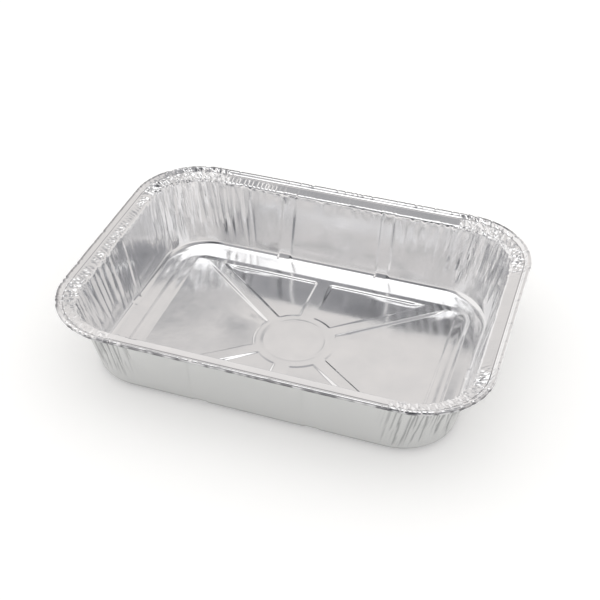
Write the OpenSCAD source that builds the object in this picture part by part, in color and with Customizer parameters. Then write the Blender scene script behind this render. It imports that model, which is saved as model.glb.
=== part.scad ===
// Foil drip pan, pressed from one sheet of aluminium foil.
// The sheet is drawn as a loft: rings of points go round the pan, from the
// middle of the floor, over the wall and the flange, to the end of the rolled
// edge. The two skins of the foil lie half its thickness to either side.

/* [Overall] */
// Length over the rolled edge, left to right (mm)
length = 324; // [290:1:400]
// Width over the rolled edge, front to back (mm)
width = 244; // [215:1:320]
// Height from the table to the top of the rolled edge (mm)
height = 63; // [48:1:85]
// Thickness of the foil (mm)
foil = 0.12; // [0.08:0.01:0.2]
// Radius of the rim's corners, seen from above (mm)
rim_corner_r = 56; // [48:1:64]

/* [Rim] */
// Width of the rim, from the top of the wall to its outer edge (mm)
rim_w = 14.8; // [12:0.2:18]
// How far the top of the wall lies below the top of the rolled edge (mm)
rim_drop = 4.6; // [3.8:0.1:6]
// Slope of the flange, rising towards the outside (degrees)
flange_tilt = 14; // [6:1:18]
// Diameter of the rolled edge (mm)
bead_d = 3.2; // [2.6:0.1:3.6]
// Distance of the groove from the outer edge (mm)
groove_in = 4.6; // [4.2:0.1:5.4]
// Depth of the groove beside the rolled edge (mm)
groove_d = 0.4; // [0.2:0.1:0.6]
// Half the width of the groove (mm)
groove_w = 1.1; // [0.8:0.1:1.4]
// Radius of the bend between the wall and the flange (mm)
lip_r = 1.2; // [0.8:0.1:2]

/* [Wall] */
// How far the wall leans outwards from the floor to its top (mm)
wall_lean = 11; // [6:0.5:14]
// Radius of the floor's corners (mm)
floor_corner_r = 41; // [34:1:48]
// Radius of the fold between the floor and the wall (mm)
foot_r = 4; // [2:0.1:5]
// Width of an upright channel in the wall (mm)
channel_w = 13; // [8:0.5:18]
// Depth of an upright channel in the wall (mm)
channel_d = 0.9; // [0.4:0.1:1.5]
// Width of each sloping side of a channel (mm)
channel_side = 2.2; // [1:0.1:3.5]
// How far the foot of a channel lies above the foot of the wall (mm)
channel_foot = 2; // [0:0.1:3]
// Distance of the channels of a long wall from its middle (mm)
channel_x = 42; // [24:1:60]

/* [Corner folds] */
// Number of folds at each corner
folds = 13; // [8:1:13]
// How far a fold stands out to either side of the wall (mm)
fold_d = 1.1; // [0.4:0.1:1.4]
// How far the crinkles of the flange rise and fall (mm)
crinkle_d = 0.3; // [0.1:0.05:0.5]
// Angle by which the folds go on past the corner (degrees)
fold_spread = 20; // [8:1:24]
// Number that chooses the uneven pattern of the folds
fold_seed = 7; // [1:1:99]

/* [Floor] */
// Width of the sloping band round the floor, at the short walls (mm)
side_band = 16; // [12:0.5:20]
// Width of the sloping band round the floor, at the long walls (mm)
end_band = 17.4; // [13:0.5:21]
// How far that band rises towards the wall (mm)
band_rise = 2.3; // [0.5:0.1:4]
// Corner radius of the raised panel (mm)
panel_r = 15; // [12:0.5:20]
// How far the panel lies off the middle, towards the front (mm)
panel_shift = 1.3; // [0:0.1:3]
// Height of the panel and its ribs above the table (mm)
panel_h = 1.4; // [0.8:0.1:2.4]
// Width of each step in the floor (mm)
step_w = 2.3; // [1.4:0.1:2.5]
// Gap from the panel's edge to the sunk fields, at the short walls (mm)
field_gap_x = 8.2; // [5:0.2:11]
// Gap from the panel's edge to the sunk fields, at the long walls (mm)
field_gap_y = 4; // [3:0.2:8]
// Width of the middle rib (mm)
middle_rib_w = 9.8; // [6:0.2:14]
// Width of the diagonal ribs (mm)
diagonal_rib_w = 8.4; // [6:0.2:12]
// Distance from the fields' outer corner to where a diagonal rib ends (mm)
diagonal_in = 16; // [12:0.5:22]
// Radius of the narrow ring in the middle (mm)
ring_r = 24; // [18:0.5:26]
// Half the width of that ring (mm)
ring_w = 1.7; // [1:0.1:2.5]
// Height of that ring above the panel (mm)
ring_h = 0.5; // [0.2:0.1:1]
// How far the ring lies off the middle, towards the front (mm)
ring_shift = 4.8; // [0:0.2:7]
// Radius of the circle where the sunk fields end (mm)
hub_r = 30.5; // [28:0.5:36]
// Corner radius of the two fields at the short walls (mm)
side_field_r = 10; // [6:0.5:12]
// Corner radius of the four other fields (mm)
end_field_r = 4; // [3:0.5:6]
// Radius of the fields' corners beside the middle rib (mm)
rib_field_r = 3; // [2.8:0.2:5]

/* [Hidden] */
foil_colour = [0.86, 0.86, 0.87];

// Sizes that follow from the ones above
lip_x = length / 2 - rim_w;
lip_y = width / 2 - rim_w;
lip_corner_r = rim_corner_r - rim_w;
lip_z = height - rim_drop;
floor_x = lip_x - wall_lean;
floor_y = lip_y - wall_lean;
flat_z = foil / 2;
band_angle = atan(band_rise / side_band);
wall_angle = atan((lip_z - flat_z - band_rise) / wall_lean);
wall_dir = [cos(wall_angle), sin(wall_angle)];
flange_dir = [cos(flange_tilt), sin(flange_tilt)];
bead_r = (bead_d - foil) / 2;
bead_u = rim_w - bead_d / 2;
bead_z = height - bead_d / 2;
bead_angles = [135, 90, 45, 0, -45, -90, -135];

panel_x = floor_x - side_band;
panel_y = floor_y - end_band;
panel_mid = [0, -panel_shift];
hub = [0, -ring_shift];
spoke_stretch = 1.12;
field_x = panel_x - field_gap_x;
field_back = panel_y - panel_shift - field_gap_y;
field_front = panel_y + panel_shift - field_gap_y;
back_angle = atan2(field_back - hub[1], field_x - diagonal_in);
front_angle = atan2(field_front + hub[1], field_x - diagonal_in);

// Plane geometry
function dir(a) = [cos(a), sin(a)];
function unit(v) = v / norm(v);
function mix(a, b, t) = a * (1 - t) + b * t;
// Crossing of two lines, each given by a point and a direction
function meet(p, u, q, v) = p + u * (cross(q - p, v) / cross(u, v));
// Point where a ray from p leaves a circle about the hub
function on_circle(p, u, r) =
    let (m = p - hub, b = m * u)
    p + u * (-b + sqrt(b * b - m * m + r * r));
// Bend between two straight lines that meet at c, as three points
function bend(c, before, after, reach) =
    let (p = c - before * reach, q = c + after * reach)
    [p, (p + 2 * c + q) / 4, q];
// Rounded corner x between the lines along s and o: the point at share t of it
function corner(x, s, o, r, t) =
    let (half = acos(s * o) / 2,
         c = x + unit(s + o) * (r / sin(half)),
         p = x + s * (r / tan(half)) - c,
         a = (180 - 2 * half) * t * (cross(s, o) > 0 ? -1 : 1))
    c + p * cos(a) + [-p[1], p[0]] * sin(a);

// Floor: six sunk fields between six ribs, seen as spokes about the hub.
// Each field: spoke before it, half width of that rib, corner radius there,
// the same for the spoke after it, direction of its outer side, its distance.
fields = [
    [-front_angle, diagonal_rib_w / 2, side_field_r,
     back_angle, diagonal_rib_w / 2, side_field_r, 0, field_x],
    [back_angle, diagonal_rib_w / 2, end_field_r,
     90, middle_rib_w / 2, rib_field_r, 90, field_back],
    [90, middle_rib_w / 2, rib_field_r,
     180 - back_angle, diagonal_rib_w / 2, end_field_r, 90, field_back],
    [180 - back_angle, diagonal_rib_w / 2, side_field_r,
     180 + front_angle, diagonal_rib_w / 2, side_field_r, 180, field_x],
    [180 + front_angle, diagonal_rib_w / 2, end_field_r,
     270, middle_rib_w / 2, rib_field_r, 270, field_front],
    [270, middle_rib_w / 2, rib_field_r,
     360 - front_angle, diagonal_rib_w / 2, end_field_r, 270, field_front]
];

// Start of a field's side line; the line is drawn "inset" inside the rib's edge
function side_start(f, first, inset) =
    first ? hub + dir(f[0] + 90) * (f[1] + inset)
          : hub + dir(f[3] - 90) * (f[4] + inset);
function side_dir(f, first) = dir(first ? f[0] : f[3]);
// Direction along the field's outer side, away from the given rib
function outer_dir(f, first) = dir(f[6] + (first ? 90 : -90));
function side_end(f, first, inset) =
    meet(side_start(f, first, inset), side_dir(f, first),
         dir(f[6]) * (f[7] - inset), outer_dir(f, first));
function side_corner(f, first, inset, t) =
    corner(side_end(f, first, inset), -side_dir(f, first),
           outer_dir(f, first), f[first ? 2 : 5] - inset, t);
function on_side(f, first, inset, r) =
    on_circle(side_start(f, first, inset), side_dir(f, first), r);

// Points of one spoke from the hub ring outwards, at the edge of a field:
// line 0 runs along the rib's edge, line 1 at the foot of its slope
function edge_spoke(f, first, line) =
    let (inset = line * step_w,
         a = side_corner(f, first, step_w, 0))
    [on_side(f, first, inset, hub_r),
     on_side(f, first, inset, hub_r + step_w),
     line == 1 ? a : side_corner(f, first, 0, 0) - side_dir(f, first) * step_w,
     line == 1 ? side_corner(f, first, step_w, 0.5)
               : side_corner(f, first, 0, 0),
     side_corner(f, first, 0, line == 1 ? 0.67 : 0.33)];
// The same for a spoke inside the field, at share t from its first side
function inner_spoke(f, t) =
    let (p = on_side(f, true, step_w, hub_r) - hub,
         q = on_side(f, false, step_w, hub_r) - hub,
         u = unit(mix(p, q, t)),
         e = mix(side_corner(f, true, step_w, 1),
                 side_corner(f, false, step_w, 1), t),
         o = e + dir(f[6]) * step_w,
         i = hub + u * (hub_r + step_w))
    [hub + u * hub_r, i, mix(i, e, 0.75), e, o];
// A spoke along the crown of a rib
function rib_spoke(f) =
    let (u = dir(f[0]),
         o = meet(hub, u, [0, f[0] < 180 && f[0] > 0 ? field_back : -field_front],
                  [1, 0]))
    [hub + u * hub_r, hub + u * (hub_r + step_w),
     mix(hub, o, 0.7), mix(hub, o, 0.85), o];

// Point of the panel's outline, grown by g, where the spoke through p gets to.
// It is the closest one to a point further out on that spoke.
function panel_point(p, g) =
    let (m = hub + (p - hub) * spoke_stretch - panel_mid,
         k = [max(-(panel_x - panel_r), min(panel_x - panel_r, m[0])),
              max(-(panel_y - panel_r), min(panel_y - panel_r, m[1]))])
    panel_mid + k + unit(m - k) * (panel_r + g);

// A whole spoke: ring in the middle, field, panel edge and its foot.
// "low" marks the points that lie on the table.
function spoke(p, low) =
    let (u = unit(p[0] - hub))
    concat(
        [for (r = [ring_r - ring_w, ring_r, ring_r + ring_w])
            [(hub + u * r)[0], (hub + u * r)[1],
             flat_z + panel_h + (r == ring_r ? ring_h : 0)]],
        [for (i = [0:4]) [p[i][0], p[i][1], flat_z + (low[i] ? 0 : panel_h)]],
        [for (g = [0, step_w]) let (e = panel_point(p[4], g))
            [e[0], e[1], flat_z + (g == 0 ? panel_h : 0)]]);
rim_of_field = [false, false, false, false, false];
foot_of_field = [false, true, true, true, false];
spokes = [for (f = fields) each [
    spoke(rib_spoke(f), rim_of_field),
    spoke(edge_spoke(f, true, 0), rim_of_field),
    spoke(edge_spoke(f, true, 1), foot_of_field),
    spoke(inner_spoke(f, 0), foot_of_field),
    spoke(inner_spoke(f, 0.5), foot_of_field),
    spoke(inner_spoke(f, 1), foot_of_field),
    spoke(edge_spoke(f, false, 1), foot_of_field),
    spoke(edge_spoke(f, false, 0), rim_of_field)
]];
spoke_count = len(spokes);
floor_rings = len(spokes[0]);

// Wall and rim: upright lines round the pan. Each line: corner or side number,
// its angle past the corner's start or its place along the side, its push
// outwards on the wall (mm), its lift on the flange (mm), its reach down.
uneven = rands(-1, 1, 16 * (folds + 1), fold_seed);
fold_lines = 2 * folds + 1;
fold_step = (90 + 2 * fold_spread) / (fold_lines - 1);
function corner_lines(c) = [for (k = [0:fold_lines - 1])
    let (n = 4 * ((c * folds + floor(k / 2)) % (4 * folds)),
         sign = k % 2 == 0 ? -1 : 1,
         last = k == 0 || k == fold_lines - 1,
         size = last ? 0 : 0.75 + 0.25 * uneven[n])
    ["corner", c,
     -fold_spread + fold_step * (k + (last ? 0 : 0.3 * uneven[n + 1])),
     sign * size * fold_d, sign * size * crinkle_d,
     0.7 + 0.2 * uneven[n + 2]]];
function channel(s, mid) = [for (e = [[-1, 0], [-1, 1], [1, 1], [1, 0]])
    ["side", s, mid + e[0] * (channel_w / 2 - e[1] * channel_side),
     e[1] * channel_d, 0, 1]];
function side_lines(s) = s % 2 == 0
    ? concat(channel(s, -channel_x), channel(s, channel_x))
    : channel(s, 0);
// Sides are numbered from the back one, against the clock
lines = [for (i = [3, 0, 1, 2]) each concat(corner_lines(i), side_lines(i))];
line_count = len(lines);

// Place and outward direction of a line on a rounded rectangle
function around(l, a, b, r) =
    let (c = l[1])
    l[0] == "corner"
    ? let (t = max(0, min(90, l[2])),
           u = dir(90 * c + t),
           past = (l[2] - t) * PI / 180 * r,
           m = [(c == 0 || c == 3 ? 1 : -1) * (a - r), (c < 2 ? 1 : -1) * (b - r)])
      [m + u * r + dir(90 * c + t + 90) * past, u]
    : let (u = dir(90 * c + 90), v = dir(90 * c + 180))
      [u * (c % 2 == 0 ? b : a) + v * l[2], u];

// Section of the wall and rim. Each ring: its place outside the floor's edge and
// its height, the share of a fold that it takes, and the share of a crinkle.
wall_foot = [0, flat_z + band_rise];
wall_top = wall_foot + [wall_lean, lip_z - wall_foot[1]];
foot_bend = bend(wall_foot, [cos(band_angle), sin(band_angle)], wall_dir,
                 foot_r * tan((wall_angle - band_angle) / 2));
lip_bend = bend(wall_top, wall_dir, flange_dir,
                lip_r * tan((wall_angle - flange_tilt) / 2));
groove_u = rim_w - groove_in;
function flange_at(u) = wall_top + [u, u * tan(flange_tilt)];
section = [
    [foot_bend[0], 0, 0],
    [foot_bend[1], 0, 0],
    [foot_bend[2], 0.06, 0],
    [mix(wall_foot, wall_top, 0.35), 0.35, 0],
    [mix(wall_foot, wall_top, 0.7), 0.7, 0],
    [lip_bend[0], 1, 0],
    [lip_bend[1], 0.9, 0.5],
    [lip_bend[2], 0.5, 1],
    [flange_at(groove_u / 2), 0, 1],
    [flange_at(groove_u - groove_w), 0, 0.8],
    [flange_at(groove_u) - [0, groove_d], 0, 0.3],
    each [for (t = bead_angles)
        [wall_top + [bead_u, bead_z - wall_top[1]] + bead_r * dir(t), 0, 0]]
];
section_count = len(section);
// Corner radius of the ring that lies g outside the floor's edge
function ring_corner_r(g) = g < 0 ? floor_corner_r + g
    : g < wall_lean ? mix(floor_corner_r, lip_corner_r, g / wall_lean)
    : lip_corner_r + g - wall_lean;
// Share of a fold left at share h of the wall, when it reaches down by "reach"
function fold_share(h, reach) = max(0, min(1, (h - 1 + reach) / reach));
function wall_point(l, s) =
    let (g = s[0][0],
         p = around(l, floor_x + g, floor_y + g, ring_corner_r(g)),
         share = l[0] == "corner" ? s[1] == 0 ? 0 : s[1] * fold_share(s[1], l[5])
                                  : s[1] > 0 && s[2] == 0 ? 1 : 0,
         q = p[0] + p[1] * l[3] * share,
         in_channel = l[0] == "side" && l[3] > 0,
         at_foot = g > section[0][0][0] && g <= section[2][0][0],
         lift = in_channel && at_foot ? channel_foot : 0)
    [q[0], q[1], s[0][1] + lift + l[4] * s[2]];
walls = [for (l = lines) [for (s = section) wall_point(l, s)]];

// Outward side of the sheet at a point of the wall, from its neighbours
function wall_normal(i, j) =
    let (n = line_count,
         along = walls[(i + 1) % n][j] - walls[(i + n - 1) % n][j],
         up = walls[i][min(j + 1, section_count - 1)] - walls[i][max(j - 1, 0)])
    unit(cross(up, along));

// Points of one skin, "side" being 1 for the inside of the pan and -1 below
function skin(side) = concat(
    [[hub[0], hub[1], flat_z + panel_h + side * foil / 2]],
    [for (j = [0:floor_rings - 1]) for (i = [0:spoke_count - 1])
        spokes[i][j] + [0, 0, side * foil / 2]],
    [for (j = [0:section_count - 1]) for (i = [0:line_count - 1])
        walls[i][j] + wall_normal(i, j) * (side * foil / 2)]);
floor_start = 1;
wall_start = floor_start + spoke_count * floor_rings;
skin_count = wall_start + line_count * section_count;
function floor_index(i, j) = floor_start + j * spoke_count + i % spoke_count;
function wall_index(i, j) = wall_start + j * line_count + i % line_count;

// The sloping band joins the spokes of the floor to the lines of the wall
function turn(p) = (atan2(p[1] * floor_x / floor_y, p[0]) + 420) % 360;
spoke_turns = [each [for (s = spokes) turn(s[floor_rings - 1])],
               360 + turn(spokes[0][floor_rings - 1])];
line_turns = [each [for (w = walls) turn(w[0])], 360 + turn(walls[0][0])];
function spoke_next(i, j) = j >= line_count
    || (i < spoke_count && spoke_turns[i + 1] < line_turns[j + 1]);
band_faces = [for (i = 0, j = 0, a = spoke_next(0, 0);
    i + j < spoke_count + line_count;
    i = a ? i + 1 : i, j = a ? j : j + 1, a = spoke_next(i, j))
    a ? [floor_index(i, floor_rings - 1), floor_index(i + 1, floor_rings - 1),
         wall_index(j, 0)]
      : [floor_index(i, floor_rings - 1), wall_index(j + 1, 0), wall_index(j, 0)]];

// Two triangles for the four corners i, cut along the shorter diagonal of points p
function split(i, p) = norm(p[0] - p[2]) <= norm(p[1] - p[3])
    ? [[i[0], i[1], i[2]], [i[0], i[2], i[3]]]
    : [[i[0], i[1], i[3]], [i[1], i[2], i[3]]];
// The corner points of a cell, in a grid that closes on itself after n lines
function cell(grid, i, j, n) =
    [grid[i][j], grid[(i + 1) % n][j], grid[(i + 1) % n][j + 1], grid[i][j + 1]];
skin_faces = concat(
    [for (i = [0:spoke_count - 1]) [0, floor_index(i + 1, 0), floor_index(i, 0)]],
    [for (j = [0:floor_rings - 2]) for (i = [0:spoke_count - 1])
        each split([floor_index(i, j), floor_index(i + 1, j),
                    floor_index(i + 1, j + 1), floor_index(i, j + 1)],
                   cell(spokes, i, j, spoke_count))],
    band_faces,
    [for (j = [0:section_count - 2]) for (i = [0:line_count - 1])
        each split([wall_index(i, j), wall_index(i + 1, j),
                    wall_index(i + 1, j + 1), wall_index(i, j + 1)],
                   cell(walls, i, j, line_count))]);
// The cut edge of the foil, at the end of the roll
edge_faces = [for (i = [0:line_count - 1])
    let (a = wall_index(i, section_count - 1), b = wall_index(i + 1, section_count - 1))
    each [[a, b, b + skin_count], [a, b + skin_count, a + skin_count]]];

module pan() {
    color(foil_colour)
        polyhedron(
            points = concat(skin(1), skin(-1)),
            faces = concat(
                skin_faces,
                [for (f = skin_faces) [f[0], f[2], f[1]] + skin_count * [1, 1, 1]],
                edge_faces),
            convexity = 12);
}

pan();
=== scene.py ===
import math

import bpy
import numpy as np
from mathutils import Matrix, Vector


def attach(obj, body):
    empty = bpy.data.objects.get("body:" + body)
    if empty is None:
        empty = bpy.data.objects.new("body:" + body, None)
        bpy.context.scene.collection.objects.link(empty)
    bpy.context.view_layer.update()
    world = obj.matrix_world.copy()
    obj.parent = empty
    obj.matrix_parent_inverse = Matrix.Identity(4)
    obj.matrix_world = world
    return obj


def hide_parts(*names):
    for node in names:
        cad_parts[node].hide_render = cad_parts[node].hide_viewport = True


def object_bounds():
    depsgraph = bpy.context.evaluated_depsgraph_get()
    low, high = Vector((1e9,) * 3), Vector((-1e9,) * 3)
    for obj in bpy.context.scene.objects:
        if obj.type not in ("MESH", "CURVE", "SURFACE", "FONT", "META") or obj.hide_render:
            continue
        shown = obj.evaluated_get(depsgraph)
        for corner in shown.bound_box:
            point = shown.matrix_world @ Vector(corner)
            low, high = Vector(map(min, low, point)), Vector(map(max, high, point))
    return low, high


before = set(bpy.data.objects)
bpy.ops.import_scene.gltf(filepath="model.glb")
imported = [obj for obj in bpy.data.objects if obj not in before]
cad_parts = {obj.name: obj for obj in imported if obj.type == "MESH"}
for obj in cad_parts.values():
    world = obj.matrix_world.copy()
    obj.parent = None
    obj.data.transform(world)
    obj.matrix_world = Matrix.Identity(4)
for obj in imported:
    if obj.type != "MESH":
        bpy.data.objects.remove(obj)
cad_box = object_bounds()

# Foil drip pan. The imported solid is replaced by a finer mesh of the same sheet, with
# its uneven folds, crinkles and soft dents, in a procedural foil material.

MM = 1000                            # mm in a metre

# Sizes of the pan in mm, as in the part's source. The bends at the foot and at the lip
# are rounder here, and the ring and the channels' feet are lower.
LENGTH, WIDTH, HEIGHT = (round((b - a) * MM, 2) for a, b in zip(*cad_box))
FOIL = 0.12
RIM_CORNER_R, RIM_W, RIM_DROP, FLANGE_TILT = 56.0, 14.8, 4.6, 14.0
BEAD_D, LIP_R = 3.2, 2.8
WALL_LEAN, FLOOR_CORNER_R, FOOT_R = 11.0, 41.0, 5.0
CHANNEL_W, CHANNEL_D, CHANNEL_SIDE, CHANNEL_X, CHANNEL_FOOT = 13.0, 0.9, 2.2, 42.0, 1.0
SIDE_BAND, END_BAND, BAND_RISE = 16.0, 17.4, 2.3
PANEL_R, PANEL_SHIFT, PANEL_H, STEP_W = 15.0, 1.3, 1.4, 2.3
FIELD_GAP_X, FIELD_GAP_Y = 8.2, 4.0
MIDDLE_RIB_W, DIAGONAL_RIB_W, DIAGONAL_IN = 9.8, 8.4, 16.0
RING_R, RING_W, RING_H, RING_SHIFT, HUB_R = 24.0, 1.7, 0.15, 4.8, 30.5
SIDE_FIELD_R, END_FIELD_R, RIB_FIELD_R = 10.0, 4.0, 3.0
FOLD_SPREAD = 20.0                   # degrees past the arc of each corner
FLANGE_END = 8.7                     # where the flange meets the strip beside the roll

LIP_X, LIP_Y = LENGTH / 2 - RIM_W, WIDTH / 2 - RIM_W
LIP_CORNER_R, LIP_Z = RIM_CORNER_R - RIM_W, HEIGHT - RIM_DROP
FLOOR_X, FLOOR_Y = LIP_X - WALL_LEAN, LIP_Y - WALL_LEAN
FLAT_Z = FOIL / 2
PANEL_X, PANEL_Y = FLOOR_X - SIDE_BAND, FLOOR_Y - END_BAND
PANEL_MID = np.array([0.0, -PANEL_SHIFT])
HUB = np.array([0.0, -RING_SHIFT])
FIELD_X = PANEL_X - FIELD_GAP_X
FIELD_BACK = PANEL_Y - PANEL_SHIFT - FIELD_GAP_Y
FIELD_FRONT = PANEL_Y + PANEL_SHIFT - FIELD_GAP_Y
BACK_ANGLE = math.degrees(math.atan2(FIELD_BACK - HUB[1], FIELD_X - DIAGONAL_IN))
FRONT_ANGLE = math.degrees(math.atan2(FIELD_FRONT + HUB[1], FIELD_X - DIAGONAL_IN))
BAND_ANGLE = math.atan(BAND_RISE / SIDE_BAND)
WALL_ANGLE = math.atan((LIP_Z - FLAT_Z - BAND_RISE) / WALL_LEAN)
TILT = math.radians(FLANGE_TILT)
BEAD_R = (BEAD_D - FOIL) / 2

rng = np.random.default_rng(11)


# Small tools

def smooth(t):
    t = np.clip(t, 0, 1)
    return t * t * (3 - 2 * t)


def step(x, start, reach):
    """Smooth step from 0 to 1 that begins at start and takes reach."""
    return smooth((x - start) / reach)


def direction(angle):
    a = math.radians(angle)
    return np.array([math.cos(a), math.sin(a)])


def cross2(a, b):
    return a[0] * b[1] - a[1] * b[0]


def unit(v):
    return v / math.hypot(*v)


def meet(p, u, q, v):
    """Where the line from p along u meets the one from q along v."""
    return p + u * (cross2(q - p, v) / cross2(u, v))


def on_circle(p, u, r):
    """Where the ray from p along u leaves the circle of radius r round the hub."""
    m = p - HUB
    b = m @ u
    return p + u * (-b + math.sqrt(b * b - m @ m + r * r))


class Noise:
    """Smooth value noise over a plane, from -1 to 1, periodic along both axes."""

    def __init__(self, nx, ny):
        self.v = rng.uniform(-1, 1, (nx, ny))
        self.nx, self.ny = nx, ny

    def __call__(self, x, y):
        xi, yi = np.floor(x).astype(int), np.floor(y).astype(int)
        fx, fy = smooth(x - xi), smooth(y - yi)
        x0, x1 = xi % self.nx, (xi + 1) % self.nx
        y0, y1 = yi % self.ny, (yi + 1) % self.ny
        v = self.v
        return ((v[x0, y0] * (1 - fx) + v[x1, y0] * fx) * (1 - fy)
                + (v[x0, y1] * (1 - fx) + v[x1, y1] * fx) * fy)


# The floor

# Each field: angle and half width of the rib before it, corner radius there,
# the same for the rib after it, direction of its outer side and its distance.
DIAGONAL, MIDDLE = DIAGONAL_RIB_W / 2, MIDDLE_RIB_W / 2
FIELDS = [
    (-FRONT_ANGLE, DIAGONAL, SIDE_FIELD_R, BACK_ANGLE, DIAGONAL, SIDE_FIELD_R, 0, FIELD_X),
    (BACK_ANGLE, DIAGONAL, END_FIELD_R, 90, MIDDLE, RIB_FIELD_R, 90, FIELD_BACK),
    (90, MIDDLE, RIB_FIELD_R, 180 - BACK_ANGLE, DIAGONAL, END_FIELD_R, 90, FIELD_BACK),
    (180 - BACK_ANGLE, DIAGONAL, SIDE_FIELD_R,
     180 + FRONT_ANGLE, DIAGONAL, SIDE_FIELD_R, 180, FIELD_X),
    (180 + FRONT_ANGLE, DIAGONAL, END_FIELD_R, 270, MIDDLE, RIB_FIELD_R, 270, FIELD_FRONT),
    (270, MIDDLE, RIB_FIELD_R, 360 - FRONT_ANGLE, DIAGONAL, END_FIELD_R, 270, FIELD_FRONT),
]
BACK_RIGHT, BACK_LEFT_FIELD = 1, 2
ARC_POINTS = 14


def foot_outline(field):
    """Closed outline of a sunk field at the foot of its slope."""
    a0, h0, r0, a1, h1, r1, out, dist = field
    sides = []
    for a, h, r, turn in ((a0, h0, r0, 90), (a1, h1, r1, -90)):
        u = direction(a)
        p = HUB + direction(a + turn) * (h + STEP_W)
        o = direction(out + turn)
        x = meet(p, u, direction(out) * (dist - STEP_W), o)
        half = math.acos(-u @ o) / 2
        foot_r = r - STEP_W
        reach = foot_r / math.tan(half)
        mid = x + unit(o - u) * (foot_r / math.sin(half))
        arc = []
        for t in np.linspace(0, 1, ARC_POINTS):
            m = (x - u * reach - mid) * (1 - t) + (x + o * reach - mid) * t
            arc.append(mid + unit(m) * foot_r)
        sides.append([on_circle(p, u, HUB_R + STEP_W)] + arc)
    first, second = sides
    start, end = second[0] - HUB, first[0] - HUB
    t0, t1 = math.atan2(start[1], start[0]), math.atan2(end[1], end[0])
    while t1 > t0:
        t1 -= 2 * math.pi
    hub_arc = [HUB + (HUB_R + STEP_W) * np.array([math.cos(t), math.sin(t)])
               for t in np.linspace(t0, t1, ARC_POINTS)[1:-1]]
    return np.array(first + second[::-1] + hub_arc)


OUTLINES = [foot_outline(field) for field in FIELDS]


def outline_distance(p, outline):
    """Signed distance to a closed outline, negative inside."""
    best = np.full(len(p), np.inf)
    inside = np.zeros(len(p), bool)
    for a, b in zip(outline, np.roll(outline, -1, 0)):
        ab = b - a
        t = np.clip(((p - a) @ ab) / (ab @ ab), 0, 1)
        best = np.minimum(best, np.hypot(*(p - a - t[:, None] * ab).T))
        cut = (a[1] > p[:, 1]) != (b[1] > p[:, 1])
        with np.errstate(divide="ignore", invalid="ignore"):
            at = a[0] + (p[:, 1] - a[1]) * ab[0] / ab[1]
        inside ^= cut & (p[:, 0] < at)
    return np.where(inside, -best, best)


def rounded(p, mid, a, b, r):
    """Signed distance to a rounded rectangle of half sizes a and b."""
    q = np.abs(p - mid) - [a - r, b - r]
    return np.hypot(*np.maximum(q, 0).T) + np.minimum(q.max(1), 0) - r


# Soft forms of the floor, which show most in its reflections. Lengths are in mm, and
# pairs are the start and the reach of a step.
RING_SOFT = 0.8                      # added to the ring's half width
SHALLOW = 0.75                       # share of the depth that the fields lose beside the hub
SHALLOW_END, BACK_FIELDS = (1, 30), (14, 8)
SWELL_H, SWELL_RIGHT = 1.0, 0.5      # height of the back fields' swell, and its growth
SWELL_FRONT, SWELL_BACK, SWELL_END, SWELL_GROWTH = (6, 30), (38, 34), (22, 45), (0, 6)
BORDER_DROP, BORDER_IN, BORDER_W, BORDER_SIDES = 0.9, 0.7, 5.1, (-6, 4)
# Waves: height, width, and the place in the noise
BROAD_WAVE, FINE_WAVE = (0.22, 26, 20, 20), (0.04, 9, 7, 31)
EDGE_WAVE, EDGE_WAVE_ENDS, EDGE_WAVE_BACK = (0.2, 5.5, 3, 11), (85, 25), (-60, 50)
EDGE_WAVE_IN, EDGE_WAVE_REACH = 3, 7
CALM_BAND = 8                        # beside the wall, where the waves die out

floor_wave = Noise(64, 64)


def wave(p, height, width, shift_x, shift_y):
    return height * (0.5 + 0.5 * floor_wave(p[:, 0] / width + shift_x, p[:, 1] / width + shift_y))


def floor_height(p):
    """Height of the middle of the sheet over points of the floor and its band."""
    x, y = p.T
    distances = [outline_distance(p, outline) for outline in OUTLINES]
    rib = smooth(np.min(distances, axis=0) / STEP_W)
    away = np.hypot(*(p - HUB).T)
    # the fields grow shallow towards the hub, except the two at the back
    shallow = SHALLOW * (1 - step(away - HUB_R, *SHALLOW_END)) * (1 - step(y - HUB[1], *BACK_FIELDS))
    ring = np.clip((away - RING_R) / (RING_W + RING_SOFT), -1, 1)
    z = PANEL_H * (rib + (1 - rib) * shallow) + RING_H * np.cos(ring * math.pi / 2) ** 2
    # the back fields swell softly, the right one only beside the middle rib
    in_back = 1 - smooth(np.minimum(distances[BACK_RIGHT], distances[BACK_LEFT_FIELD]) / STEP_W)
    swell = step(y, *SWELL_FRONT) * (1 - step(y, *SWELL_BACK)) * (1 - step(x, *SWELL_END))
    z += SWELL_H * (1 + SWELL_RIGHT * step(x, *SWELL_GROWTH)) * swell * in_back
    # the panel's border slopes down a little towards the fields at the short walls
    border = step(np.abs(x) - FIELD_X, *BORDER_SIDES) * rib
    z -= border * BORDER_DROP * np.clip((PANEL_X - BORDER_IN - np.abs(x)) / BORDER_W, 0, 1)
    edge = rounded(p, PANEL_MID, PANEL_X, PANEL_Y, PANEL_R)
    z *= 1 - smooth(edge / STEP_W)
    wall = -rounded(p, np.zeros(2), FLOOR_X, FLOOR_Y, FLOOR_CORNER_R)
    out = np.maximum(edge - STEP_W, 0)
    z += BAND_RISE * out / np.maximum(out + np.maximum(wall, 0), 0.01)
    near_edge = smooth(1 - np.abs(edge + EDGE_WAVE_IN) / EDGE_WAVE_REACH)
    near_edge *= step(np.abs(x), *EDGE_WAVE_ENDS) * step(y, *EDGE_WAVE_BACK)
    waves = wave(p, *BROAD_WAVE) + near_edge * wave(p, *EDGE_WAVE) + wave(p, *FINE_WAVE)
    return FLAT_Z + z + waves * smooth(wall / CALM_BAND)


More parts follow.
